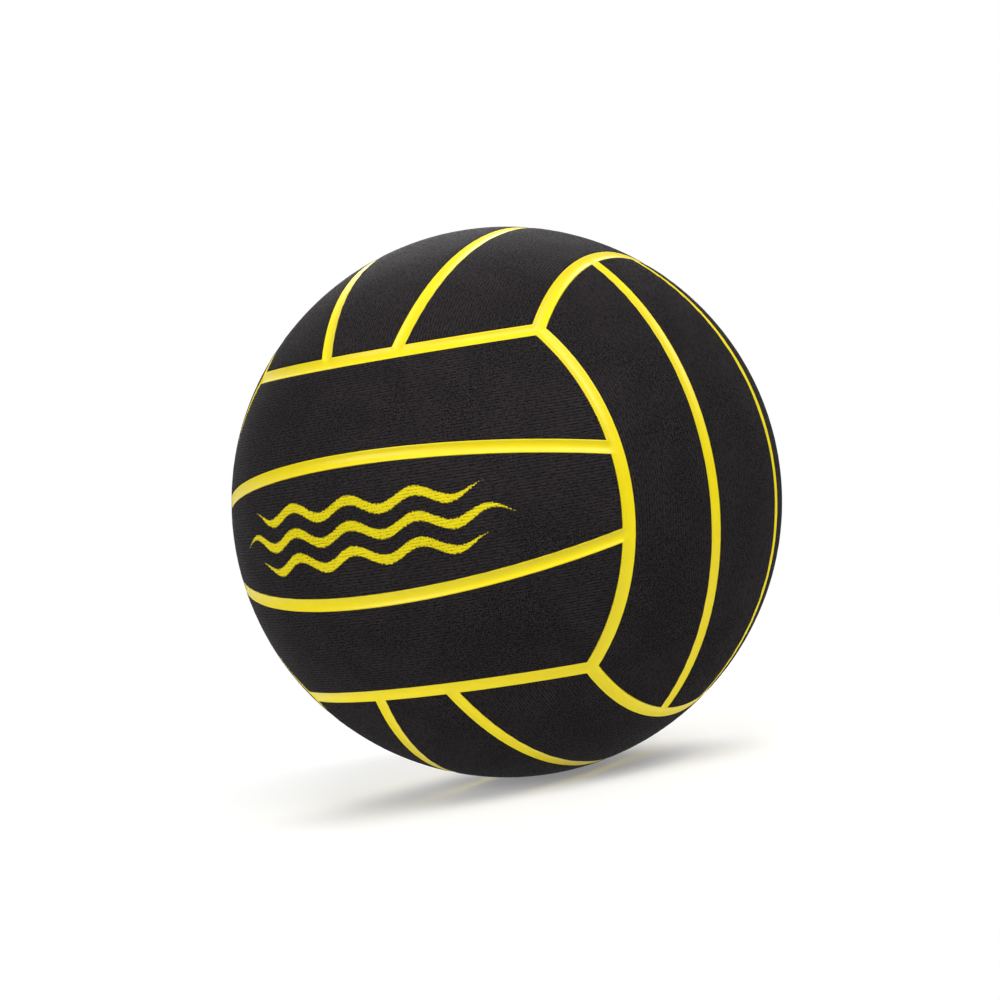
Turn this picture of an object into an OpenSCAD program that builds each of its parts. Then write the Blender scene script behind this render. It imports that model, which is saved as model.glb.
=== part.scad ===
// Water polo ball. Eighteen rubber cover panels, three strips on each of six faces, lie in a moulded
// carcass whose ribs show between them as concave channels. Under it are a thread winding, a bladder and
// a self-sealing valve. The origin is the ball's centre. +Z is up, the front face looks along -Y and the
// valve points along +Y.

/* [Ball] */
// Circumference of the inflated ball
ball_circumference = 695; // [650:1:710]

/* [Cover panels] */
// Thickness of a cover panel
cover_t = 1.25; // [1.15:0.05:2]
// Angle at the ball's centre from the middle of a face to the channels beside its middle strip
strip_angle = 14; // [10:0.5:20]

/* [Channels] */
// Width of the channels round a face
edge_channel_w = 5.5; // [3:0.1:8]
// Width of the channels between the strips of a face
strip_channel_w = 5.3; // [3:0.1:8]
// Depth of the middle of the channels round a face
edge_channel_depth = 1; // [0.6:0.05:1.1]
// Depth of the middle of the channels between strips
strip_channel_depth = 0.95; // [0.6:0.05:1.1]
// Depth of every channel at its two edges
channel_lip = 0.25; // [0.1:0.05:0.4]

/* [Inner layers] */
// Thickness of the carcass under the panels
carcass_t = 0.55; // [0.4:0.05:1.2]
// Thickness of the thread winding
winding_t = 0.5; // [0.3:0.05:1.2]
// Thickness of the bladder
bladder_t = 0.6; // [0.4:0.05:1.2]
// Thickness of the bonding film wherever two pieces are joined
bond_line = 0.05; // [0.02:0.01:0.1]

/* [Valve] */
// Diameter of the hole that guides the inflation needle
needle_hole_d = 2.3; // [2.1:0.1:2.8]
// Length of the hole that guides the inflation needle
needle_hole_l = 4; // [3:0.5:6]
// Depth of the valve's outer end below the cover
valve_recess = 0.2; // [0.1:0.05:0.6]
// Diameter of the self-sealing core
valve_core_d = 6; // [5:0.5:8]
// Length of the self-sealing core
valve_core_l = 12; // [8:0.5:16]
// Depth of the dimple that leads the needle into the core
core_dimple_depth = 1.2; // [0.5:0.1:2]
// Wall of the valve housing round the core
valve_wall = 1.75; // [1.5:0.05:2.5]
// Thickness of the valve housing's inner end, below the core
valve_end_t = 3; // [2:0.5:5]
// Diameter of the valve housing's barrel where it joins the flange
barrel_root_d = 14; // [13.5:0.5:18]
// Diameter of the valve housing's flange
valve_flange_d = 26; // [22:1:32]
// Thickness of the valve housing's flange
valve_flange_t = 1.2; // [0.8:0.1:2]
// Diameter of the reinforcing disc round the valve
valve_patch_d = 40; // [34:1:50]
// Thickness of the reinforcing disc round the valve
valve_patch_t = 0.7; // [0.5:0.1:1.2]

/* [Hidden] */
$fn = 144;
cover_colour = "#2b292c";
channel_colour = "#efe02a";
thread_colour = "#e8e2d0";
bladder_colour = "#3a3a3d";
valve_colour = "#1f1f21";
core_colour = "#8c3b2e";

// Outer radius of each layer, from the cover inwards
ball_r = ball_circumference / (2 * PI);
pocket_r = ball_r - cover_t - bond_line;
winding_r = pocket_r - carcass_t - bond_line;
bladder_r = winding_r - winding_t - bond_line;
patch_r = bladder_r - bladder_t - bond_line;
flange_r = patch_r - valve_patch_t - bond_line;
// The ribs start above the lip, so that the channels' curve cuts all of their tops away
rib_r = ball_r - channel_lip / 2;
// Long enough for every cone and block to pass right through the ball
reach = 2 * ball_r;
// Angle from the middle of a face to the channels at its ends, like that from a cube's face to its corner
rim_angle = acos(1 / sqrt(3));
// Turn that keeps the poles of the carcass's spheres away from the channels and their corners
carcass_turn = [10, 20, 30];

// Places along the valve's axis, as distances from the ball's centre
valve_top = ball_r - valve_recess;
core_top = valve_top - needle_hole_l;
core_end = core_top - valve_core_l;
barrel_end = core_end - bond_line - valve_end_t;
barrel_root = flange_r - valve_flange_t / 2;
valve_head_d = valve_core_d + 2 * valve_wall;

// Each face: its name, the turns about the cube's diagonal that bring it from the right, whether it is
// the opposite face of its pair, and the names of its strips
FACES = [
    ["right", 0, 0, ["front", "middle", "rear"]],
    ["left", 0, 1, ["front", "middle", "rear"]],
    ["back", 1, 0, ["lower", "middle", "upper"]],
    ["front", 1, 1, ["lower", "middle", "upper"]],
    ["top", 2, 0, ["left", "middle", "right"]],
    ["bottom", 2, 1, ["left", "middle", "right"]],
];
STRIPS = [-1, 0, 1];

function panel_name(face, strip) = str("panel_", face[0], "_", face[3][strip + 1]);
// Angle at the ball's centre that spans a length along its surface
function span_angle(length) = length / ball_r * 180 / PI;
// Radius of a channel's concave profile, from its width and from its depths at the middle and at the edges
function groove_r(width, depth) =
    let (drop = depth - channel_lip) (pow(width / 2, 2) + pow(drop, 2)) / (2 * drop);

// Places on another face what is made on the right one, where strips run along Z, side by side along Y
module on_face(face) {
    rotate(120 * face[1], [1, 1, 1]) rotate([0, 180 * face[2], 0]) children();
}

// Places something made along +Z on the valve's axis
module on_valve_axis() {
    rotate([-90, 0, 0]) children();
}

module shell(outer_r, inner_r) {
    difference() {
        sphere(r = outer_r);
        sphere(r = inner_r);
    }
}

// All directions within an angle of +Z, as a cone with its tip at the ball's centre
module sector(half_angle) {
    cylinder(h = reach * cos(half_angle), r1 = 0, r2 = reach * sin(half_angle));
}

// All that lies on the +Y side of the plane between two strips, moved by an offset along +Y
module beyond_strip_plane(offset_y) {
    rotate([0, 0, strip_angle]) translate([-reach, offset_y, -reach]) cube([2 * reach, reach, 2 * reach]);
}

// The right face out of a layer of the ball, with a margin at its ends. The spheres start at the far side.
module face_block(margin, outer_r, inner_r) {
    intersection() {
        rotate([0, 0, 180]) shell(outer_r, inner_r);
        rotate([0, 90, 0]) sector(rim_angle - span_angle(edge_channel_w / 2 - margin));
    }
}

// One strip of the right face out of a layer of the ball, with a margin all round
module strip_block(strip, margin, outer_r, inner_r) {
    half_channel = strip_channel_w / 2 - margin;
    if (strip == 0) difference() {
        face_block(margin, outer_r, inner_r);
        beyond_strip_plane(-half_channel);
        mirror([0, 1, 0]) beyond_strip_plane(-half_channel);
    } else mirror([0, strip < 0 ? 1 : 0, 0]) difference() {
        intersection() {
            face_block(margin, outer_r, inner_r);
            beyond_strip_plane(half_channel);
        }
        rotate([-90, 0, 0]) sector(rim_angle + span_angle(edge_channel_w / 2 - margin));
    }
}

// A channel's concave cut along an arc centred on +X, in a plane square to Z at some height
module groove(width, depth, arc, height = 0) {
    profile_r = groove_r(width, depth);
    latitude = asin(height / ball_r);
    distance = ball_r - depth + profile_r;
    rotate([0, 0, -arc / 2]) rotate_extrude(angle = arc)
        translate([distance * cos(latitude), distance * sin(latitude)]) circle(r = profile_r);
}

// The two channels between the strips of the right face, each from end channel to end channel
module strip_channels() {
    end_share = cos(rim_angle) / cos(strip_angle);
    for (side = [-1, 1]) rotate([0, 0, side * strip_angle]) rotate([90, 0, 0])
        groove(strip_channel_w, strip_channel_depth, 2 * acos(end_share));
}

// The channels along the two long sides of the right face, each a quarter turn from corner to corner
module side_channels() {
    for (side = [0, 1]) mirror([0, side, 0]) rotate([-90, 0, 0])
        groove(edge_channel_w, edge_channel_depth, 90, ball_r * cos(rim_angle));
}

// The way through every layer for the neck of the valve housing
module valve_passage() {
    on_valve_axis() cylinder(h = reach, d = valve_head_d + 2 * bond_line);
}

module cover_panel(face, strip) {
    color(cover_colour) difference() {
        on_face(face) strip_block(strip, 0, ball_r, ball_r - cover_t);
        if (face[0] == "back" && strip == 0) valve_passage();
    }
}

module carcass() {
    color(channel_colour) difference() {
        rotate(carcass_turn) shell(rib_r, winding_r + bond_line);
        for (face = FACES) on_face(face) {
            for (strip = STRIPS) strip_block(strip, bond_line, ball_r, pocket_r);
            strip_channels();
            side_channels();
        }
        valve_passage();
    }
}

module thread_winding() {
    color(thread_colour) difference() {
        shell(winding_r, winding_r - winding_t);
        valve_passage();
    }
}

module bladder() {
    color(bladder_colour) difference() {
        shell(bladder_r, bladder_r - bladder_t);
        valve_passage();
    }
}

module valve_patch() {
    color(valve_colour) difference() {
        intersection() {
            shell(patch_r, patch_r - valve_patch_t);
            on_valve_axis() cylinder(h = reach, d = valve_patch_d);
        }
        valve_passage();
    }
}

module valve_housing() {
    color(valve_colour) difference() {
        union() {
            // Neck, up to the domed end that shows in the cover
            intersection() {
                sphere(r = valve_top);
                on_valve_axis() translate([0, 0, core_end]) cylinder(h = reach, d = valve_head_d);
            }
            // Flange, which lies against the reinforcing disc
            intersection() {
                shell(flange_r, flange_r - valve_flange_t);
                on_valve_axis() cylinder(h = reach, d = valve_flange_d);
            }
            // Barrel, tapered inwards from the middle of the flange
            on_valve_axis() translate([0, 0, barrel_end])
                cylinder(h = barrel_root - barrel_end, d1 = valve_head_d, d2 = barrel_root_d);
        }
        // Guide hole and the air outlet below the core, on one axis
        on_valve_axis() cylinder(h = reach, d = needle_hole_d);
        // Seat of the core
        on_valve_axis() translate([0, 0, core_end - bond_line])
            cylinder(h = valve_core_l + bond_line, d = valve_core_d + 2 * bond_line);
    }
}

module valve_core() {
    color(core_colour) on_valve_axis() difference() {
        translate([0, 0, core_end]) cylinder(h = valve_core_l - bond_line, d = valve_core_d);
        // Dimple under the guide hole, drawn twice as tall so that it opens through the top
        translate([0, 0, core_top - bond_line - core_dimple_depth])
            cylinder(h = 2 * core_dimple_depth, d1 = 0, d2 = 2 * needle_hole_d);
    }
}

for (face = FACES) for (strip = STRIPS)
    cover_panel(face, strip);
carcass();
thread_winding();
bladder();
valve_patch();
valve_housing();
valve_core();
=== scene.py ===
"""Looks of a water polo ball: ribbed black cover strips, a yellow carcass that shows between them as
concave channels, a printed wave sign on the front, a needle valve at the back and the layers inside."""

import math
from contextlib import contextmanager

import bpy
import numpy as np
from mathutils import Matrix, Vector


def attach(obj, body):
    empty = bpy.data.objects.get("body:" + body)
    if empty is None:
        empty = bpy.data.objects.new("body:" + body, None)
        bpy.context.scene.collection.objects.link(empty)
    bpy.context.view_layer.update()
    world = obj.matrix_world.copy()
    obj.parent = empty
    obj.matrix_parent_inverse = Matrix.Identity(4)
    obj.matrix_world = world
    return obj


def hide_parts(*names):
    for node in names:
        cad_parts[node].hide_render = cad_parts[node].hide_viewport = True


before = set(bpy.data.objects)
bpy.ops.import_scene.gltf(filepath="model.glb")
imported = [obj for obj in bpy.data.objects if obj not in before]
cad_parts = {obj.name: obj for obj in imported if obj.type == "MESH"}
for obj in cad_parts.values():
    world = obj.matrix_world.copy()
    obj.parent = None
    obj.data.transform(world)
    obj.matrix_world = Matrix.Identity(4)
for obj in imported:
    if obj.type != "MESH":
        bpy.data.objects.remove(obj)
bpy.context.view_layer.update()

# Sizes of the ball, in metres, as its construction has them
MM = 0.001
BALL_R = 695 * MM / (2 * math.pi)
COVER_T = 1.25 * MM
CARCASS_T = 0.55 * MM
WINDING_T = 0.5 * MM
BLADDER_T = 0.6 * MM
PATCH_T = 0.7 * MM
BOND_LINE = 0.05 * MM
POCKET_DEPTH = COVER_T + BOND_LINE
STRIP_ANGLE = math.radians(14)
EDGE_CHANNEL_W = 5.5 * MM
STRIP_CHANNEL_W = 5.3 * MM
CHANNEL_DEPTH = 1 * MM
CHANNEL_LIP = 0.25 * MM
# Angle from the middle of a face to the channels at its ends
RIM_ANGLE = math.acos(1 / math.sqrt(3))

# Grip ridges of the cover: their step, rounded to whole ridges from pole to pole, and their depth
RIDGE_STEP = 1.15 * MM
RIDGES_POLE_TO_POLE = round(math.pi * BALL_R / RIDGE_STEP)
RIDGE_PITCH = math.pi * BALL_R / RIDGES_POLE_TO_POLE
RIDGE_DEPTH = 0.15 * MM
# The mesh that carries them: rows to a ridge, width of a column, and segments before it is subdivided
ROWS_PER_RIDGE = 4
COLUMN_W = 2 * MM
SKIN_SEGMENTS = round(2 * math.pi * BALL_R / COLUMN_W / ROWS_PER_RIDGE)
# Slight unevenness that the mould leaves in the cover
MOULD_WAVE = 1.8 * MM
MOULD_DEPTH = 0.1 * MM
# Softening of the panels' cut edges: its radius, its rows as shares of that, and how far it drops
EDGE_R = 0.35 * MM
EDGE_ROW_SHARES = (1, 0.4, 0.12)
EDGE_DROP = 0.7 * EDGE_R

# Carcass: the lips of its channels, the gap beside its ribs and the easing of their corners
LIP_W = 0.45 * MM
RIB_GAP = BOND_LINE
RIB_EASE = 0.12 * MM
# Distances from a panel's edge into the channel at which the mesh has a row
CHANNEL_ROWS = (RIB_GAP, RIB_GAP + 0.02 * MM, RIB_GAP + RIB_EASE, LIP_W, 0.8 * MM, 1.3 * MM, 1.9 * MM)
CARCASS_SIDES = 144
INNER_WALL_SIDES = 96
# Turn that keeps the poles of the carcass's mesh away from the channels
CARCASS_TURN = (0.2, 0.3, 0.4)

# Valve: its sizes, and then its places as distances from the ball's centre along +Y
GUIDE_R = 1.15 * MM
GUIDE_L = 4 * MM
CORE_R = 3 * MM
CORE_L = 12 * MM
DIMPLE_DEPTH = 1.2 * MM
VALVE_RECESS = 0.2 * MM
VALVE_WALL = 1.75 * MM
VALVE_END_T = 3 * MM
BARREL_ROOT_R = 7 * MM
FLANGE_T = 1.2 * MM
FLANGE_R = 13 * MM
HEAD_R = CORE_R + VALVE_WALL
VALVE_HOLE_R = HEAD_R + BOND_LINE
VALVE_TOP = BALL_R - VALVE_RECESS
CORE_TOP = VALVE_TOP - GUIDE_L
CORE_END = CORE_TOP - CORE_L
BARREL_END = CORE_END - BOND_LINE - VALVE_END_T
FLANGE_TOP = BALL_R - COVER_T - CARCASS_T - WINDING_T - BLADDER_T - PATCH_T - 5 * BOND_LINE
# Its fine forms: the countersink, the ring moulded round that, and the core's chamfer and tip
DISH_R = 2.1 * MM
DISH_FLOOR_R = 0.8 * DISH_R
DISH_DEPTH = 0.5 * MM
DISH_LIP_DEPTH = 0.6 * DISH_DEPTH
RING_R = 3.5 * MM
RING_H = 0.25 * MM
RING_TOP_DEPTH = 0.2 * RING_H
CORE_CHAMFER = 0.2 * MM
CORE_TIP_R = 0.02 * MM
VALVE_SIDES = 96

# Angles in degrees past which an edge stays sharp on a panel, on the carcass and on the valve
PANEL_CREASE = 40
CARCASS_CREASE = 50
VALVE_CREASE = 35
# Vertices closer than this are merged, or count as lying on a cut
CUT_THRESHOLD = 0.005 * MM
# Slack of a comparison between sizes, or between cosines
SLACK = 1e-7

# The photograph's view: pixel values in its 1000 by 1000 frame, and angles found from the channels
FRAME_PX = 1000
CENTRE_PX = (506.7, 502.0)
OUTLINE_R_PX = 275.6
VIEW_AZIMUTH = math.radians(31.2)
VIEW_ELEVATION = math.radians(1.3)
VIEW_ROLL = math.radians(8.9)
# Distance of the camera as a multiple of the ball's radius
VIEW_DISTANCE_SHARE = 10.3
SENSOR_W_MM = 36

# Each face: its name, the thirds of a turn about the cube's diagonal that bring it from the right, whether
# it is the opposite face of its pair, and the names of its strips
FACES = (
    ("right", 0, False, ("front", "middle", "rear")),
    ("left", 0, True, ("front", "middle", "rear")),
    ("back", 1, False, ("lower", "middle", "upper")),
    ("front", 1, True, ("lower", "middle", "upper")),
    ("top", 2, False, ("left", "middle", "right")),
    ("bottom", 2, True, ("left", "middle", "right")),
)


def face_turn(thirds, opposite):
    """The turn that brings the right face to another face."""
    pair = Matrix.Rotation(math.pi * opposite, 4, "Y")
    return Matrix.Rotation(math.radians(120) * thirds, 4, Vector((1, 1, 1))) @ pair


def direction(azimuth, elevation):
    """The unit vector at an azimuth, from the front face round to the right, and at an elevation."""
    level = math.cos(elevation)
    return Vector((level * math.sin(azimuth), -level * math.cos(azimuth), math.sin(elevation)))


# Selecting, editing and finishing meshes


def only(obj):
    """Selects one object alone and makes it the active one."""
    bpy.ops.object.select_all(action="DESELECT")
    obj.select_set(True)
    bpy.context.view_layer.objects.active = obj


def start(name, add, **settings):
    """Adds a primitive with nothing else selected, names it and applies its turn."""
    bpy.ops.object.select_all(action="DESELECT")
    add(**settings)
    obj = bpy.context.active_object
    obj.name = obj.data.name = name
    bpy.ops.object.transform_apply(location=True, rotation=True, scale=True)
    return obj


@contextmanager
def editing(obj):
    """Edit mode on one object, with vertices as what is selected."""
    only(obj)
    bpy.context.tool_settings.mesh_select_mode = (True, False, False)
    bpy.ops.object.mode_set(mode="EDIT")
    yield
    bpy.ops.object.mode_set(mode="OBJECT")


def cut(planes, clear=False):
    """Cuts a mesh in edit mode along planes, each a point and a normal, and can clear what is behind."""
    for point, normal in planes:
        bpy.ops.mesh.select_all(action="SELECT")
        bpy.ops.mesh.bisect(plane_co=point, plane_no=normal, clear_inner=clear, threshold=CUT_THRESHOLD)


def places(obj):
    """The places of an object's vertices, one row each."""
    co = np.zeros(len(obj.data.vertices) * 3)
    obj.data.vertices.foreach_get("co", co)
    return co.reshape(-1, 3)


def weigh(obj, name, weights):
    """Gives the vertices a group with these weights, from 0 to 1, and returns its name."""
    group = obj.vertex_groups.new(name=name)
    for index in np.nonzero(weights > 0)[0]:
        group.add([int(index)], float(weights[index]), "REPLACE")
    return name


def modify(obj, kind, **settings):
    """Adds a modifier and applies it."""
    only(obj)
    modifier = obj.modifiers.new(kind.lower(), kind)
    for key, value in settings.items():
        setattr(modifier, key, value)
    bpy.ops.object.modifier_apply(modifier=modifier.name)


def sink(obj, name, weights, depth):
    """Moves vertices inwards along their normals, each by its weight's share of a depth."""
    modify(obj, "DISPLACE", vertex_group=weigh(obj, name, weights), strength=-depth, mid_level=0,
           direction="NORMAL")
    obj.vertex_groups.clear()


def smooth(obj, crease):
    """Shades an object smooth, apart from edges that turn by more than an angle in degrees."""
    only(obj)
    bpy.ops.object.shade_smooth_by_angle(angle=math.radians(crease))


def face_out(obj):
    """Merges doubles and turns every face outwards."""
    with editing(obj):
        bpy.ops.mesh.select_all(action="SELECT")
        bpy.ops.mesh.remove_doubles(threshold=CUT_THRESHOLD)
        bpy.ops.mesh.normals_make_consistent(inside=False)


def copy_of(obj, name, turn=None):
    """A copy with its own mesh, turned about the ball's centre."""
    made = obj.copy()
    made.data = obj.data.copy()
    made.name = made.data.name = name
    bpy.context.scene.collection.objects.link(made)
    made.matrix_world = turn or Matrix.Identity(4)
    only(made)
    bpy.ops.object.transform_apply(location=True, rotation=True, scale=True)
    return made


def place(obj, replaced, material):
    """Hands a finished piece over: the CAD node that it replaces, material and body."""
    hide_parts(replaced)
    obj.data.materials.clear()
    obj.data.materials.append(material)
    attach(obj, "root")


# Cover panels, made on the right face, whose strips run along Z side by side along Y


def end_plane(inset):
    """The plane that cuts both short ends of the right face, set in by a length."""
    angle = RIM_ANGLE - (EDGE_CHANNEL_W / 2 + inset) / BALL_R
    return Vector((BALL_R * math.cos(angle), 0, 0)), Vector((1, 0, 0))


def side_plane(inset):
    """The plane that cuts the +Y long side of the right face, set in by a length."""
    angle = RIM_ANGLE + (EDGE_CHANNEL_W / 2 + inset) / BALL_R
    return Vector((0, BALL_R * math.cos(angle), 0)), Vector((0, -1, 0))


def strip_plane(inset, side, outwards):
    """The plane beside one side's strip channel, facing outwards or to the middle, set in by a length."""
    normal = Vector((-math.sin(STRIP_ANGLE), side * math.cos(STRIP_ANGLE), 0)) * (1 if outwards else -1)
    return normal * (STRIP_CHANNEL_W / 2 + inset), normal


def middle_planes(inset):
    """The planes round a middle strip, set in by a length."""
    return end_plane(inset), strip_plane(inset, 1, False), strip_plane(inset, -1, False)


def outer_planes(inset):
    """The planes round an outer strip, set in by a length."""
    return end_plane(inset), side_plane(inset), strip_plane(inset, 1, True)


def ridged_skin():
    """The outer skin of the right face and its margin, an open sheet with a grip ridge every few rows."""
    skin = start("skin", bpy.ops.mesh.primitive_uv_sphere_add, segments=SKIN_SEGMENTS,
                 ring_count=RIDGES_POLE_TO_POLE, radius=BALL_R, rotation=(math.pi / 2, 0, 0))
    with editing(skin):
        cut([end_plane(-EDGE_CHANNEL_W)], clear=True)
        bpy.ops.mesh.select_all(action="SELECT")
        bpy.ops.mesh.subdivide(number_cuts=ROWS_PER_RIDGE - 1)
    modify(skin, "CAST", cast_type="SPHERE", factor=1, size=BALL_R, use_radius_as_size=False)
    latitude = np.arccos(np.clip(places(skin)[:, 1] / BALL_R, -1, 1))
    phase = latitude / math.pi * RIDGES_POLE_TO_POLE
    sink(skin, "ridges", 0.5 - 0.5 * np.cos(2 * math.pi * phase), RIDGE_DEPTH)
    clouds = bpy.data.textures.new("moulding unevenness", "CLOUDS")
    clouds.noise_scale = MOULD_WAVE
    clouds.noise_depth = 1
    modify(skin, "DISPLACE", texture=clouds, texture_coords="LOCAL", strength=MOULD_DEPTH, mid_level=1)
    skin.data.uv_layers[0].name = "strip"
    return skin


def master_panel(skin, name, planes):
    """A cover panel cut out of the skin along its planes, with softened edges and its real thickness."""
    panel = copy_of(skin, name)
    with editing(panel):
        for share in EDGE_ROW_SHARES:
            cut(planes(EDGE_R * share))
        cut(planes(0), clear=True)
    co = places(panel)
    inset = np.min([(co - np.array(point)) @ np.array(normal) for point, normal in planes(0)], axis=0)
    reach = np.clip(1 - inset / EDGE_R, 0, 1)
    sink(panel, "edge", 1 - np.sqrt(1 - reach ** 2), EDGE_DROP)
    inner_r = BALL_R - COVER_T
    with editing(panel):
        bpy.ops.mesh.select_all(action="SELECT")
        bpy.ops.mesh.extrude_region()
        bpy.ops.transform.resize(value=(inner_r / BALL_R,) * 3, center_override=(0, 0, 0))
    far_in = (np.linalg.norm(places(panel), axis=1) < BALL_R - COVER_T / 2).astype(float)
    modify(panel, "CAST", vertex_group=weigh(panel, "inner", far_in), cast_type="SPHERE", factor=1,
           size=inner_r, use_radius_as_size=False)
    panel.vertex_groups.clear()
    face_out(panel)
    smooth(panel, PANEL_CREASE)
    return panel


def bore_for_valve(piece):
    """Cuts the valve's round hole through a piece on the +Y axis."""
    drill = start("drill", bpy.ops.mesh.primitive_cylinder_add, vertices=VALVE_SIDES, radius=VALVE_HOLE_R,
                  depth=BALL_R, location=(0, BALL_R, 0), rotation=(math.pi / 2, 0, 0))
    modify(piece, "BOOLEAN", object=drill, operation="DIFFERENCE", solver="EXACT")
    bpy.data.objects.remove(drill)


def cover_panels(rubber, printed):
    """All eighteen panels: one middle and one outer strip, copied to the six faces."""
    skin = ridged_skin()
    middle = master_panel(skin, "middle strip", middle_planes)
    outer = master_panel(skin, "outer strip", outer_planes)
    as_made = Matrix.Identity(4)
    masters = ((outer, Matrix.Rotation(math.pi, 4, "X")), (middle, as_made), (outer, as_made))
    for face, thirds, opposite, strips in FACES:
        for strip, (master, strip_turn) in zip(strips, masters):
            panel = copy_of(master, f"cover_{face}_{strip}", face_turn(thirds, opposite) @ strip_turn)
            if (face, strip) == ("back", "middle"):
                bore_for_valve(panel)
                smooth(panel, PANEL_CREASE)
            material = printed if (face, strip) == ("front", "middle") else rubber
            place(panel, f"panel_{face}_{strip}", material)
    for master in (skin, middle, outer):
        bpy.data.objects.remove(master)


# Carcass: one closed ball whose skin sinks into eighteen pockets and into the channels between them


def channel_offsets(width):
    """The rows of a channel as distances from its middle, on both sides."""
    half = [width / 2 - row for row in CHANNEL_ROWS]
    return half + [0] + [-row for row in half]


def groove_depth(inside, half):
    """Depth of a channel at a distance in from its edge: an eased corner, a lip and a concave middle."""
    drop = CHANNEL_DEPTH - CHANNEL_LIP
    span = half - LIP_W
    radius = (span ** 2 + drop ** 2) / (2 * drop)
    from_middle = np.clip(half - inside, 0, span)
    concave = CHANNEL_DEPTH - (radius - np.sqrt(radius ** 2 - from_middle ** 2))
    ease = np.clip(1 - (inside - RIB_GAP) / RIB_EASE, 0, 1) ** 2 * RIB_EASE
    return np.where(inside < LIP_W, CHANNEL_LIP + ease, concave)


def carcass_depths(co):
    """How far each vertex of the carcass lies below the ball's surface."""
    unit = co / np.linalg.norm(co, axis=1)[:, None]
    rim = math.cos(RIM_ANGLE)
    depth = np.zeros(len(co))
    for axis in range(3):
        facing, aside = np.abs(unit[:, axis]), np.abs(unit[:, (axis + 1) % 3])
        here = (facing >= rim - SLACK) & (aside <= rim + SLACK)
        from_end = (RIM_ANGLE - np.arccos(np.clip(facing, -1, 1))) * BALL_R
        from_side = (math.asin(rim) - np.arcsin(np.clip(aside, -1, 1))) * BALL_R
        from_strip = np.abs(math.cos(STRIP_ANGLE) * aside - math.sin(STRIP_ANGLE) * facing) * BALL_R
        edge_inside = EDGE_CHANNEL_W / 2 - np.minimum(from_end, from_side)
        strip_inside = STRIP_CHANNEL_W / 2 - from_strip
        both = np.hypot(np.clip(edge_inside, 0, None), np.clip(strip_inside, 0, None))
        half = np.where(edge_inside > strip_inside, EDGE_CHANNEL_W, STRIP_CHANNEL_W) / 2
        sunk = np.where(both > RIB_GAP + SLACK, groove_depth(np.minimum(both, half), half), POCKET_DEPTH)
        depth = np.where(here, sunk, depth)
    return depth


def carcass(rubber):
    """The carcass, cut along every row of every channel and sunk to its depths, with its inner wall."""
    ball = start("carcass_shell", bpy.ops.mesh.primitive_uv_sphere_add, segments=CARCASS_SIDES,
                 ring_count=CARCASS_SIDES // 2, radius=BALL_R, rotation=CARCASS_TURN)
    with editing(ball):
        for axis in range(3):
            for side in (1, -1):
                along = Vector([side * (i == axis) for i in range(3)])
                edge_angles = [RIM_ANGLE - offset / BALL_R for offset in channel_offsets(EDGE_CHANNEL_W)]
                cut([(along * BALL_R * math.cos(angle), along) for angle in edge_angles])
                normal = Vector((-math.sin(STRIP_ANGLE), side * math.cos(STRIP_ANGLE), 0))
                normal = Vector([normal[(i - axis) % 3] for i in range(3)])
                cut([(normal * offset, normal) for offset in channel_offsets(STRIP_CHANNEL_W)])
    sink(ball, "depth", carcass_depths(places(ball)) / POCKET_DEPTH, POCKET_DEPTH)
    inner = start("inner wall", bpy.ops.mesh.primitive_uv_sphere_add, segments=INNER_WALL_SIDES,
                  ring_count=INNER_WALL_SIDES // 2, radius=BALL_R - POCKET_DEPTH - CARCASS_T)
    with editing(inner):
        bpy.ops.mesh.select_all(action="SELECT")
        bpy.ops.mesh.flip_normals()
    only(ball)
    inner.select_set(True)
    bpy.ops.object.join()
    bore_for_valve(ball)
    smooth(ball, CARCASS_CREASE)
    place(ball, "carcass", rubber)


# Valve


def turned(name, profile):
    """A piece turned on the +Y axis: a ring carried along a closed profile of radii and places."""
    first_r, first_y = profile[0]
    piece = start(name, bpy.ops.mesh.primitive_circle_add, vertices=VALVE_SIDES, radius=first_r,
                  location=(0, first_y, 0), rotation=(math.pi / 2, 0, 0))
    with editing(piece):
        bpy.ops.mesh.select_all(action="SELECT")
        for (r, y), (next_r, next_y) in zip(profile, profile[1:]):
            bpy.ops.mesh.extrude_region()
            bpy.ops.transform.resize(value=(next_r / r, 1, next_r / r), center_override=(0, y, 0))
            bpy.ops.transform.translate(value=(0, next_y - y, 0))
    face_out(piece)
    smooth(piece, VALVE_CREASE)
    return piece


def valve_housing(rubber):
    """The valve housing: a countersunk needle hole in a moulded ring, a flange and a tapered barrel."""
    seat_r = CORE_R + BOND_LINE
    seat_end = CORE_END - BOND_LINE
    flange_end = FLANGE_TOP - FLANGE_T
    ring_foot = VALVE_TOP - RING_H
    housing = turned("valve_insert", [
        (GUIDE_R, CORE_TOP), (GUIDE_R, VALVE_TOP - 2 * DISH_DEPTH),
        (DISH_FLOOR_R, VALVE_TOP - DISH_DEPTH), (DISH_R, VALVE_TOP - DISH_LIP_DEPTH),
        (RING_R - RING_H, ring_foot), (RING_R, VALVE_TOP - RING_TOP_DEPTH), (RING_R + RING_H, ring_foot),
        (HEAD_R - RING_H, ring_foot), (HEAD_R, VALVE_TOP - 2 * RING_H), (HEAD_R, FLANGE_TOP),
        (FLANGE_R, FLANGE_TOP), (FLANGE_R, flange_end), (BARREL_ROOT_R, flange_end),
        (HEAD_R, BARREL_END), (GUIDE_R, BARREL_END), (GUIDE_R, seat_end),
        (seat_r, seat_end), (seat_r, CORE_TOP), (GUIDE_R, CORE_TOP),
    ])
    place(housing, "valve_housing", rubber)


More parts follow.
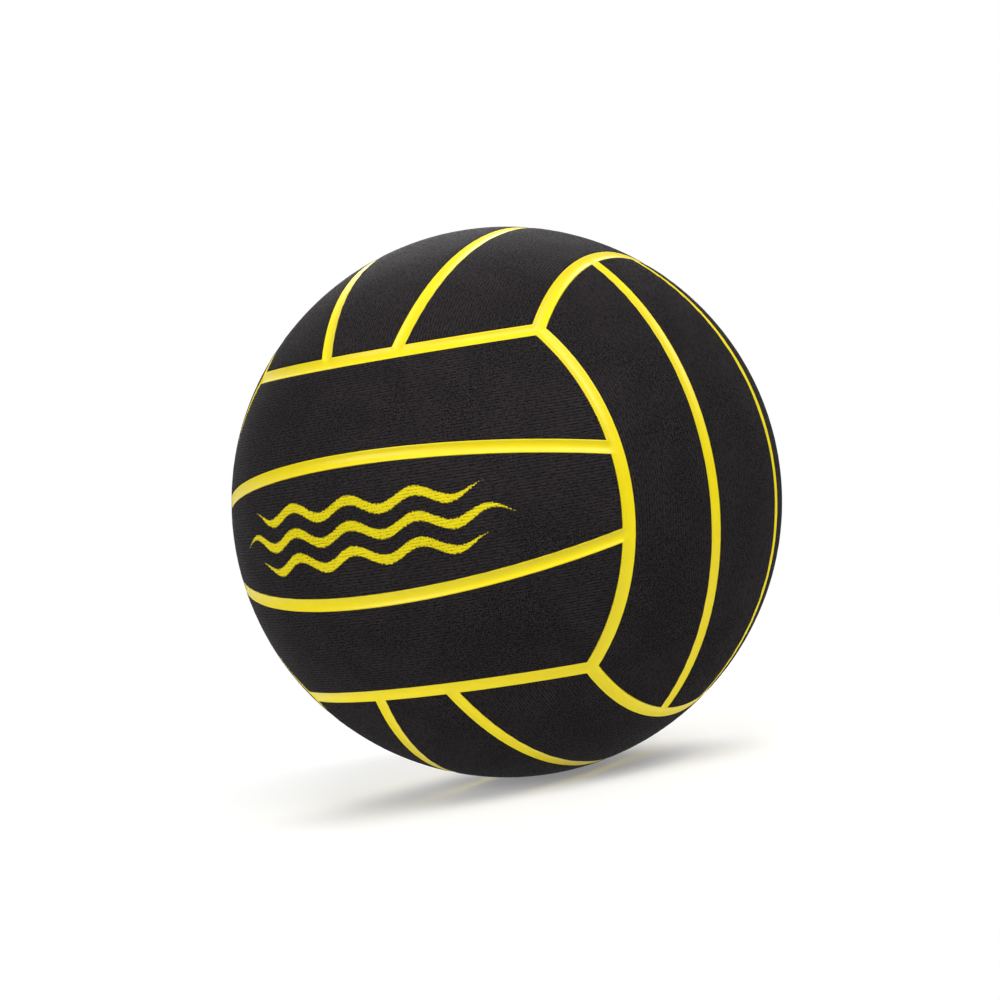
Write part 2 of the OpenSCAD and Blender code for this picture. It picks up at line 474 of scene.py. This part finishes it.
def valve_core(gum):
    """The self-sealing plug, with a chamfered top and a dimple that leads the needle in."""
    top = CORE_TOP - BOND_LINE
    core = turned("valve_plug", [
        (CORE_TIP_R, top - DIMPLE_DEPTH), (GUIDE_R, top), (CORE_R - CORE_CHAMFER, top),
        (CORE_R, top - CORE_CHAMFER), (CORE_R, CORE_END), (CORE_TIP_R, CORE_END),
        (CORE_TIP_R, top - DIMPLE_DEPTH),
    ])
    place(core, "valve_core", gum)


# Materials, with their patterns' sizes in millimetres

RUBBER_IOR = 1.52
# A Mix node's sockets for colours, as numbers, because its sockets of every type share their names
LOW_COLOUR, HIGH_COLOUR, MIXED_COLOUR = 6, 7, 2
# The middle of a noise's values, over which a colour clouds or a finish changes
NOISE_MIDDLE = (0.3, 0.7)

# Cover: the sizes of its grit, of the dust in its grooves, of its dents, of the patches in which the lines
# or the grit show more, and of its clouds. The real grit is finer than the photograph can show, so it is
# drawn about one and a half of its pixels wide.
GRIT_SIZE = 0.58
DUST_SIZE = 0.8
DENT_PITCH = 1.1
PATCH_SIZE = 34
CLOUD_SIZE = 14
# Width of a spot of dust or of a dent, as a share of its length along the ridges
DUST_WIDTH_SHARE = 0.3
# The values over which the ridges' wave, the dust's noise, the grit's and the dents' cells turn from dark to
# light; the dark of the ridges' wave is painted shade in the grooves, and that of the dents' cells painted
# shade in the dents
GROOVE_SHADE_RANGE = (-1, -0.4)
DUST_RANGE = (0.53, 0.63)
GRIT_RANGE = (0.44, 0.54)
DENT_RANGE = (0.08, 0.3)
# How much dust lightens a groove's painted shade, and how much of the colour the painted shade leaves in the
# middle of a dent
DUST_WEAR = 0.65
DENT_MIDDLE_SHADE = 0.35
# How much of the lines shows in place of grit, from patch to patch
PATCH_RANGE = (0.38, 0.62)
LINES_SHARE = (0.2, 0.7)
# How far a cloud changes the colour
CLOUD_RANGE = (0.35, 0.65)
CLOUD_SHARE = (0, 0.25)
# The height that grit, dust and dents make up together, and the share of each
GRIP_HEIGHT = 0.3 * MM
GRIT_HEIGHT_SHARE, DUST_HEIGHT_SHARE, DENT_HEIGHT_SHARE = 0.3, 0.3, 0.4
# Roughness of the dark grooves and of the worn tops
COVER_ROUGHNESS = (0.78, 0.62)
# Specular level: the grip's grooves swallow most of the shine that bare rubber would have
COVER_SHINE = 0.08

# Print: each wave's distance from the strip's middle and half its length, and the waves' sizes
PRINT_LINES = ((-9.5, 56), (0, 68), (9.5, 56))
WAVE_LENGTH, WAVE_HEIGHT, LINE_W = 28.0, 2.4, 3.6
# Share of its length over which a wave keeps its width, and how far past its end its edge then lies
WAVE_FULL_SHARE = 0.7
WAVE_TIP = -0.4
# The ink's torn edge: the size of its tears, their reach, and half the width over which the ink thins out
TEAR_SIZE = 0.7
TEAR_REACH = 0.3
INK_EDGE = 0.15
# How much ink sticks in the grooves and on the tops, and the values of wear and painted shade over which
# that changes
INK_STICKS_RANGE = (0.02, 0.16)
INK_STICKS_SHARE = (0.15, 1)
# The values of wear and painted shade over which the ink turns from its dark yellow, painted shade in the
# grooves and dents, to its light one
INK_SHADE_RANGE = (0.1, 0.6)
# What the ink adds to the roughness and to the height
INK_ROUGHNESS = -0.12
INK_HEIGHT_SHARE = 0.4

# Channels: the sizes of their clouds and of their orange-peel, its depth, and their roughness
CHANNEL_CLOUD_SIZE = 9
PEEL_SIZE = 0.7
PEEL_DEPTH = 0.03 * MM
CHANNEL_ROUGHNESS = (0.37, 0.45)

# Thread: the turns of its crossing layers, and a scale that makes a strand 1.2 mm wide. The real thread is
# 0.4 mm thick, and is drawn coarser so that single strands can be told apart.
THREAD_LAYERS = ((0.3, 0.2, 0.9), (1.4, 0.7, 0.1), (0.8, 1.9, 1.2))
THREAD_SCALE = 1 / 7.5
THREAD_WAVER = 1.5
THREAD_HEIGHT = 0.3 * MM
THREAD_ROUGHNESS = 0.5
NYLON_IOR = 1.53

# Plain rubbers: the size of their clouds in grains, and how far the grain changes their roughness
CLOUD_GRAINS = 18
GRAIN_ROUGHNESS = 0.06

# Light table: the size and depth of its stipple, and its roughness
STIPPLE_SIZE = 3
STIPPLE_DEPTH = 0.02 * MM
TABLE_ROUGHNESS = 0.9
ACRYLIC_IOR = 1.5


def srgb(hex_colour):
    """An sRGB hex colour as the linear one that a shader takes."""
    parts = [int(hex_colour[i:i + 2], 16) / 255 for i in (1, 3, 5)]
    return [p / 12.92 if p <= 0.04045 else ((p + 0.055) / 1.055) ** 2.4 for p in parts] + [1]


def node(tree, kind, inputs=(), **settings):
    """Adds a node with its settings and fills its inputs, given by name or in their order.

    A socket is linked, a node is linked by its first output, and anything else is set as a value.
    """
    made = tree.nodes.new(kind)
    for key, value in settings.items():
        setattr(made, key, value)
    keyed = inputs if isinstance(inputs, dict) else dict(enumerate(inputs))
    for key, value in keyed.items():
        source = value.outputs[0] if isinstance(value, bpy.types.Node) else value
        if isinstance(source, bpy.types.NodeSocket):
            tree.links.new(source, made.inputs[key])
        else:
            made.inputs[key].default_value = source
    return made


def new_material(name):
    """An empty material, and its tree."""
    material = bpy.data.materials.new(name)
    material.use_nodes = True
    material.node_tree.nodes.clear()
    return material, material.node_tree


def strip_place(tree):
    """The place on a strip in millimetres: X along it and Y across it, from the middle of its face."""
    uv = node(tree, "ShaderNodeUVMap", uv_map="strip")
    length, width = 2 * math.pi * BALL_R / MM, math.pi * BALL_R / MM
    return node(tree, "ShaderNodeMapping", {"Vector": uv, "Location": (-length / 2, -width / 2, 0),
                                            "Scale": (length, width, 1)})


def object_place(tree):
    """The place on the ball in millimetres."""
    in_metres = node(tree, "ShaderNodeTexCoord").outputs["Object"]
    return node(tree, "ShaderNodeMapping", {"Vector": in_metres, "Scale": (1 / MM,) * 3})


def grip(tree):
    """What the bare and the printed cover share: the strip's place, how light each spot is from wear and
    painted shade, and its height.

    The ridges' tops are scuffed to a dull grey, while the grooves between them and the middles of the dents
    are painted dark as shade. Dust fills most of the grooves, so their painted shade shows as short dark
    dashes.
    Grit keeps the lines from looking ruled, and from patch to patch either the lines or the grit show more.
    """
    at = strip_place(tree)
    across = node(tree, "ShaderNodeSeparateXYZ", [at]).outputs["Y"]
    # Painted shade: the ridges' wave is low in the grooves between the ridges, which darkens the colour
    # there
    turns = node(tree, "ShaderNodeMath", [across, 2 * math.pi * MM / RIDGE_PITCH], operation="MULTIPLY")
    wave = node(tree, "ShaderNodeMath", [turns], operation="COSINE")
    ridges = node(tree, "ShaderNodeMapRange", [wave, *GROOVE_SHADE_RANGE])

    stretched = node(tree, "ShaderNodeMapping", {"Vector": at, "Scale": (DUST_WIDTH_SHARE, 1, 1)})
    dust_noise = node(tree, "ShaderNodeTexNoise", {"Vector": stretched, "Scale": 1 / DUST_SIZE},
                      noise_dimensions="2D")
    dust = node(tree, "ShaderNodeMapRange", [dust_noise, *DUST_RANGE])
    cells = node(tree, "ShaderNodeTexVoronoi", {"Vector": stretched, "Scale": 1 / DENT_PITCH},
                 voronoi_dimensions="2D")
    # Painted shade: the dents' cells darken the colour towards the middle of each dent; they also give the
    # dents their height
    dents = node(tree, "ShaderNodeMapRange", [cells, *DENT_RANGE, DENT_MIDDLE_SHADE, 1])
    grit_noise = node(tree, "ShaderNodeTexNoise", {"Vector": at, "Scale": 1 / GRIT_SIZE},
                      noise_dimensions="2D")
    grit = node(tree, "ShaderNodeMapRange", [grit_noise, *GRIT_RANGE])
    patch_noise = node(tree, "ShaderNodeTexNoise", {"Vector": at, "Scale": 1 / PATCH_SIZE, "Detail": 1},
                       noise_dimensions="2D")
    patch = node(tree, "ShaderNodeMapRange", [patch_noise, *PATCH_RANGE, *LINES_SHARE])

    dusty = node(tree, "ShaderNodeMath", [dust, DUST_WEAR], operation="MULTIPLY")
    lines = node(tree, "ShaderNodeMath", [ridges, dusty], operation="MAXIMUM")
    over_grit = node(tree, "ShaderNodeMath", [lines, grit], operation="SUBTRACT")
    mixed = node(tree, "ShaderNodeMath", [patch, over_grit, grit], operation="MULTIPLY_ADD")
    # Wear and painted shade in one value: low in the grooves and dents as painted shade, higher where dust,
    # grit and the scuffed tops lighten it
    wear_and_painted_shade = node(tree, "ShaderNodeMath", [mixed, dents], operation="MULTIPLY")
    height = node(tree, "ShaderNodeMath", [dents, DENT_HEIGHT_SHARE], operation="MULTIPLY")
    height = node(tree, "ShaderNodeMath", [dust, DUST_HEIGHT_SHARE, height], operation="MULTIPLY_ADD")
    height = node(tree, "ShaderNodeMath", [grit, GRIT_HEIGHT_SHARE, height], operation="MULTIPLY_ADD")
    return at, wear_and_painted_shade, height


def cover_colour(tree, at, wear_and_painted_shade):
    """Carbon-black rubber, from the painted-shade black of the grooves and dents to the grey of the scuffed
    tops, in faint clouds.
    """
    # The near-black is painted shade in the grooves and dents; the grey is the rubber of the scuffed tops
    grained = node(tree, "ShaderNodeMix", {
        "Factor": wear_and_painted_shade, LOW_COLOUR: srgb("#020202"), HIGH_COLOUR: srgb("#373235"),
    }, data_type="RGBA").outputs[MIXED_COLOUR]
    cloud_noise = node(tree, "ShaderNodeTexNoise", {"Vector": at, "Scale": 1 / CLOUD_SIZE},
                       noise_dimensions="2D")
    clouds = node(tree, "ShaderNodeMapRange", [cloud_noise, *CLOUD_RANGE, *CLOUD_SHARE])
    return node(tree, "ShaderNodeMix", {
        "Factor": clouds, LOW_COLOUR: grained, HIGH_COLOUR: srgb("#1d1a1b"),
    }, data_type="RGBA").outputs[MIXED_COLOUR]


def cover_rubber():
    """Natural rubber with carbon black, pressed with a fine ribbed grip: matt, with broad highlights."""
    material, tree = new_material("ribbed black rubber")
    at, wear_and_painted_shade, height = grip(tree)
    paint = node(tree, "ShaderNodeBsdfPrincipled", {
        "Base Color": cover_colour(tree, at, wear_and_painted_shade),
        "Roughness": node(tree, "ShaderNodeMapRange", [wear_and_painted_shade, 0, 1, *COVER_ROUGHNESS]),
        "Normal": node(tree, "ShaderNodeBump", {"Height": height, "Distance": GRIP_HEIGHT}),
        "IOR": RUBBER_IOR,
        "Specular IOR Level": COVER_SHINE,
    })
    node(tree, "ShaderNodeOutputMaterial", {"Surface": paint})
    return material


def wave_ink(tree, at, wear_and_painted_shade):
    """Where the waves have ink: tapered lines with torn edges, thin in the grooves and full on the tops."""
    split = node(tree, "ShaderNodeSeparateXYZ", [at])
    along, across = split.outputs["X"], split.outputs["Y"]
    tear_noise = node(tree, "ShaderNodeTexNoise", {"Vector": at, "Scale": 1 / TEAR_SIZE},
                      noise_dimensions="2D")
    torn = node(tree, "ShaderNodeMapRange", [tear_noise, *NOISE_MIDDLE, -TEAR_REACH, TEAR_REACH])
    turns = node(tree, "ShaderNodeMath", [along, 2 * math.pi / WAVE_LENGTH], operation="MULTIPLY")
    crests = node(tree, "ShaderNodeMath", [turns], operation="COSINE")
    wave = node(tree, "ShaderNodeMath", [crests, WAVE_HEIGHT, across], operation="MULTIPLY_ADD")
    from_middle = node(tree, "ShaderNodeMath", [along], operation="ABSOLUTE")
    ink = 0.0
    for line_place, half_length in PRINT_LINES:
        taper = node(tree, "ShaderNodeMapRange", [from_middle, half_length * WAVE_FULL_SHARE, half_length,
                                                  LINE_W / 2, WAVE_TIP])
        off_line = node(tree, "ShaderNodeMath", [wave, line_place], operation="SUBTRACT")
        off_line = node(tree, "ShaderNodeMath", [off_line], operation="ABSOLUTE")
        inside = node(tree, "ShaderNodeMath", [taper, off_line], operation="SUBTRACT")
        inside = node(tree, "ShaderNodeMath", [inside, torn], operation="ADD")
        line = node(tree, "ShaderNodeMapRange", [inside, -INK_EDGE, INK_EDGE])
        ink = node(tree, "ShaderNodeMath", [line, ink], operation="MAXIMUM")
    sticks = node(tree, "ShaderNodeMapRange", [wear_and_painted_shade, *INK_STICKS_RANGE, *INK_STICKS_SHARE])
    return node(tree, "ShaderNodeMath", [ink, sticks], operation="MULTIPLY")


def printed_rubber():
    """The same rubber under a screen-printed sign: thick yellow ink that stays on the tops of the ridges."""
    material, tree = new_material("ribbed black rubber with yellow ink")
    at, wear_and_painted_shade, height = grip(tree)
    ink = wave_ink(tree, at, wear_and_painted_shade)
    # Painted shade: the ink's yellow is darker in the grooves and dents
    painted_ink_shade = node(tree, "ShaderNodeMapRange", [wear_and_painted_shade, *INK_SHADE_RANGE])
    yellow = node(tree, "ShaderNodeMix", {
        "Factor": painted_ink_shade, LOW_COLOUR: srgb("#e9d200"), HIGH_COLOUR: srgb("#f8e61c"),
    }, data_type="RGBA").outputs[MIXED_COLOUR]
    colour = node(tree, "ShaderNodeMix", {
        "Factor": ink, LOW_COLOUR: cover_colour(tree, at, wear_and_painted_shade), HIGH_COLOUR: yellow,
    }, data_type="RGBA").outputs[MIXED_COLOUR]
    bare = node(tree, "ShaderNodeMapRange", [wear_and_painted_shade, 0, 1, *COVER_ROUGHNESS])
    roughness = node(tree, "ShaderNodeMath", [ink, INK_ROUGHNESS, bare], operation="MULTIPLY_ADD")
    inked_height = node(tree, "ShaderNodeMath", [ink, INK_HEIGHT_SHARE, height], operation="MULTIPLY_ADD")
    paint = node(tree, "ShaderNodeBsdfPrincipled", {
        "Base Color": colour,
        "Roughness": roughness,
        "Normal": node(tree, "ShaderNodeBump", {"Height": inked_height, "Distance": GRIP_HEIGHT}),
        "IOR": RUBBER_IOR,
        "Specular IOR Level": COVER_SHINE,
    })
    node(tree, "ShaderNodeOutputMaterial", {"Surface": paint})
    return material


def channel_rubber():
    """Pigmented natural rubber from a smooth mould: satin, with a faint orange-peel and faint clouds."""
    material, tree = new_material("satin yellow rubber")
    at = object_place(tree)
    cloud_noise = node(tree, "ShaderNodeTexNoise", {"Vector": at, "Scale": 1 / CHANNEL_CLOUD_SIZE})
    clouds = node(tree, "ShaderNodeMapRange", [cloud_noise, *NOISE_MIDDLE])
    peel = node(tree, "ShaderNodeTexNoise", {"Vector": at, "Scale": 1 / PEEL_SIZE})
    colour = node(tree, "ShaderNodeMix", {
        "Factor": clouds, LOW_COLOUR: srgb("#fbe400"), HIGH_COLOUR: srgb("#fde904"),
    }, data_type="RGBA").outputs[MIXED_COLOUR]
    paint = node(tree, "ShaderNodeBsdfPrincipled", {
        "Base Color": colour,
        "Roughness": node(tree, "ShaderNodeMapRange", [peel, *NOISE_MIDDLE, *CHANNEL_ROUGHNESS]),
        "Normal": node(tree, "ShaderNodeBump", {"Height": peel, "Distance": PEEL_DEPTH}),
        "IOR": RUBBER_IOR,
    })
    node(tree, "ShaderNodeOutputMaterial", {"Surface": paint})
    return material


def wound_thread():
    """Nylon thread wound over the bladder in all directions: off-white, silky, crossing strands, with
    painted shade between them.
    """
    material, tree = new_material("wound nylon thread")
    at = object_place(tree)
    height = 0.0
    for layer_turn in THREAD_LAYERS:
        turned_at = node(tree, "ShaderNodeMapping", {"Vector": at, "Rotation": layer_turn})
        strands = node(tree, "ShaderNodeTexWave", {
            "Vector": turned_at, "Scale": THREAD_SCALE, "Distortion": THREAD_WAVER, "Detail": 1,
        }).outputs["Fac"]
        height = node(tree, "ShaderNodeMath", [strands, height], operation="MAXIMUM")
    # Painted shade: the colour darkens to its low colour where the strands' height is low, between the
    # strands
    colour = node(tree, "ShaderNodeMix", {
        "Factor": height, LOW_COLOUR: srgb("#b5aa90"), HIGH_COLOUR: srgb("#ece6d6"),
    }, data_type="RGBA").outputs[MIXED_COLOUR]
    paint = node(tree, "ShaderNodeBsdfPrincipled", {
        "Base Color": colour,
        "Roughness": THREAD_ROUGHNESS,
        "Normal": node(tree, "ShaderNodeBump", {"Height": height, "Distance": THREAD_HEIGHT}),
        "IOR": NYLON_IOR,
    })
    node(tree, "ShaderNodeOutputMaterial", {"Surface": paint})
    return material


def plain_rubber(name, colours, roughness, grain_size, grain_depth, ior=RUBBER_IOR):
    """A moulded rubber that clouds between two colours, with a grain that its roughness follows a little."""
    material, tree = new_material(name)
    at = object_place(tree)
    grain = node(tree, "ShaderNodeTexNoise", {"Vector": at, "Scale": 1 / grain_size, "Detail": 3})
    cloud_noise = node(tree, "ShaderNodeTexNoise", {"Vector": at, "Scale": 1 / (CLOUD_GRAINS * grain_size)})
    clouds = node(tree, "ShaderNodeMapRange", [cloud_noise, *NOISE_MIDDLE])
    low, high = colours
    colour = node(tree, "ShaderNodeMix", {
        "Factor": clouds, LOW_COLOUR: srgb(low), HIGH_COLOUR: srgb(high),
    }, data_type="RGBA").outputs[MIXED_COLOUR]
    spread = (roughness - GRAIN_ROUGHNESS, roughness + GRAIN_ROUGHNESS)
    paint = node(tree, "ShaderNodeBsdfPrincipled", {
        "Base Color": colour,
        "Roughness": node(tree, "ShaderNodeMapRange", [grain, *NOISE_MIDDLE, *spread]),
        "Normal": node(tree, "ShaderNodeBump", {"Height": grain, "Distance": grain_depth}),
        "IOR": ior,
    })
    node(tree, "ShaderNodeOutputMaterial", {"Surface": paint})
    return material


def valve_rubber():
    """Nitrile rubber from a polished mould: black, and a good deal shinier than the cover."""
    return plain_rubber("satin black nitrile rubber", ("#1b1b1d", "#242427"), 0.42, 0.5, 0.02 * MM)


def gum_rubber():
    """Unfilled gum rubber: a brick red with a soft shine."""
    return plain_rubber("red gum rubber", ("#7a2f20", "#8f3d2b"), 0.45, 0.5, 0.03 * MM)


def bladder_rubber():
    """Butyl rubber from a smooth mould: an even dark grey with a soft shine."""
    return plain_rubber("butyl rubber", ("#37373a", "#434347"), 0.4, 1.2, 0.04 * MM, 1.51)


def patch_rubber():
    """Rubber pressed on cotton cloth: black and matt, with a grain from the cloth."""
    return plain_rubber("cloth-backed black rubber", ("#222224", "#2d2d30"), 0.6, 0.8, 0.06 * MM)


def opal_acrylic():
    """A light table's opal top, lit from below: even white that fades out before its horizon shows."""
    material, tree = new_material("opal acrylic of a light table")
    at = object_place(tree)
    stipple = node(tree, "ShaderNodeTexNoise", {"Vector": at, "Scale": 1 / STIPPLE_SIZE})
    colour = node(tree, "ShaderNodeMix", {
        "Factor": stipple, LOW_COLOUR: srgb("#ececec"), HIGH_COLOUR: srgb("#f0f0f0"),
    }, data_type="RGBA").outputs[MIXED_COLOUR]
    paint = node(tree, "ShaderNodeBsdfPrincipled", {
        "Base Color": colour,
        "Roughness": TABLE_ROUGHNESS,
        "Normal": node(tree, "ShaderNodeBump", {"Height": stipple, "Distance": STIPPLE_DEPTH}),
        "IOR": ACRYLIC_IOR,
        "Emission Color": (1, 1, 1, 1),
        "Emission Strength": TABLE_GLOW,
    })
    from_middle = node(tree, "ShaderNodeVectorMath", [at], operation="LENGTH").outputs["Value"]
    gone = node(tree, "ShaderNodeMapRange", [from_middle, *FLOOR_FADE_MM])
    faded = node(tree, "ShaderNodeMixShader", [gone, paint, node(tree, "ShaderNodeBsdfTransparent")])
    node(tree, "ShaderNodeOutputMaterial", {"Surface": faded})
    return material


# Studio

FLOOR_R = 1.2
FLOOR_SIDES = 96
# Distances from the ball's centre over which the floor fades out
FLOOR_FADE_MM = (200, 480)
TABLE_GLOW = 0.23
# Light of the surround, from straight below to straight above
SURROUND_LIGHT = (0.0, 0.2)
# The white backdrop behind the ball, and the cosines of the angles over which it fades in
BACKDROP_LIGHT = 0.8
BACKDROP_SPREAD = (0.35, 0.85)
# Each soft box: its name, its angles in degrees from the camera's side and from the floor, its size in
# metres and its power in watts
SOFT_BOXES = (
    ("front soft box", 0, 52, 1.0, 13),
    ("left soft box", -52, 21, 1.1, 18),
    ("right soft box", 55, 41, 1.0, 22),
    ("back soft box", 180, 40, 1.0, 16),
)
SOFT_BOX_DISTANCE = 2.0


def camera():
    """The photograph's camera: at its azimuth and elevation, rolled, and shifted to its framing."""
    back = direction(VIEW_AZIMUTH, VIEW_ELEVATION)
    level = Vector((math.cos(VIEW_AZIMUTH), math.sin(VIEW_AZIMUTH), 0))
    upright = back.cross(level)
    up = math.cos(VIEW_ROLL) * upright + math.sin(VIEW_ROLL) * level
    right = math.cos(VIEW_ROLL) * level - math.sin(VIEW_ROLL) * upright
    data = bpy.data.cameras.new("camera")
    obj = bpy.data.objects.new("camera", data)
    bpy.context.scene.collection.objects.link(obj)
    turn = Matrix((right, up, back)).transposed().to_4x4()
    obj.matrix_world = Matrix.Translation(back * BALL_R * VIEW_DISTANCE_SHARE) @ turn
    focal_px = OUTLINE_R_PX * math.sqrt(VIEW_DISTANCE_SHARE ** 2 - 1)
    data.sensor_width = SENSOR_W_MM
    data.lens = focal_px / FRAME_PX * SENSOR_W_MM
    data.shift_x = (FRAME_PX / 2 - CENTRE_PX[0]) / FRAME_PX
    data.shift_y = (CENTRE_PX[1] - FRAME_PX / 2) / FRAME_PX
    bpy.context.scene.camera = obj


def soft_box(name, azimuth, elevation, size, power):
    """A square soft box that looks at the ball."""
    data = bpy.data.lights.new(name, "AREA")
    data.shape = "SQUARE"
    data.size = size
    data.energy = power
    obj = bpy.data.objects.new(name, data)
    bpy.context.scene.collection.objects.link(obj)
    from_ball = direction(VIEW_AZIMUTH + math.radians(azimuth), math.radians(elevation))
    obj.location = SOFT_BOX_DISTANCE * from_ball
    obj.rotation_euler = obj.location.to_track_quat("Z", "Y").to_euler()


def surround():
    """A white surround, brighter above and behind the ball, that the camera itself sees as even white."""
    world = bpy.data.worlds.new("studio surround")
    world.use_nodes = True
    tree = world.node_tree
    tree.nodes.clear()
    outwards = node(tree, "ShaderNodeTexCoord").outputs["Generated"]
    upwards = node(tree, "ShaderNodeSeparateXYZ", [outwards]).outputs["Z"]
    sky = node(tree, "ShaderNodeMapRange", [upwards, -1, 1, *SURROUND_LIGHT])
    facing = node(tree, "ShaderNodeVectorMath", [outwards, -direction(VIEW_AZIMUTH, 0)],
                  operation="DOT_PRODUCT").outputs["Value"]
    backdrop = node(tree, "ShaderNodeMapRange", [facing, *BACKDROP_SPREAD, 0, BACKDROP_LIGHT])
    light = node(tree, "ShaderNodeMath", [sky, backdrop], operation="ADD")
    seen = node(tree, "ShaderNodeLightPath").outputs["Is Camera Ray"]
    strength = node(tree, "ShaderNodeMapRange", [seen, 0, 1, light, 1])
    even_white = node(tree, "ShaderNodeBackground", {"Color": (1, 1, 1, 1), "Strength": strength})
    node(tree, "ShaderNodeOutputWorld", {"Surface": even_white})
    bpy.context.scene.world = world


def studio():
    """A light table that glossy reflections don't show, the surround and four soft boxes."""
    floor = start("floor", bpy.ops.mesh.primitive_circle_add, vertices=FLOOR_SIDES, radius=FLOOR_R,
                  fill_type="NGON", location=(0, 0, -BALL_R))
    floor.data.materials.append(opal_acrylic())
    floor.visible_glossy = False
    surround()
    for box in SOFT_BOXES:
        soft_box(*box)
    bpy.context.scene.view_settings.view_transform = "Standard"


camera()
studio()
cover_panels(cover_rubber(), printed_rubber())
carcass(channel_rubber())
valve_housing(valve_rubber())
valve_core(gum_rubber())
for cad_node, material in (
    ("thread_winding", wound_thread()),
    ("bladder", bladder_rubber()),
    ("valve_patch", patch_rubber()),
):
    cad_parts[cad_node].data.materials.clear()
    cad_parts[cad_node].data.materials.append(material)
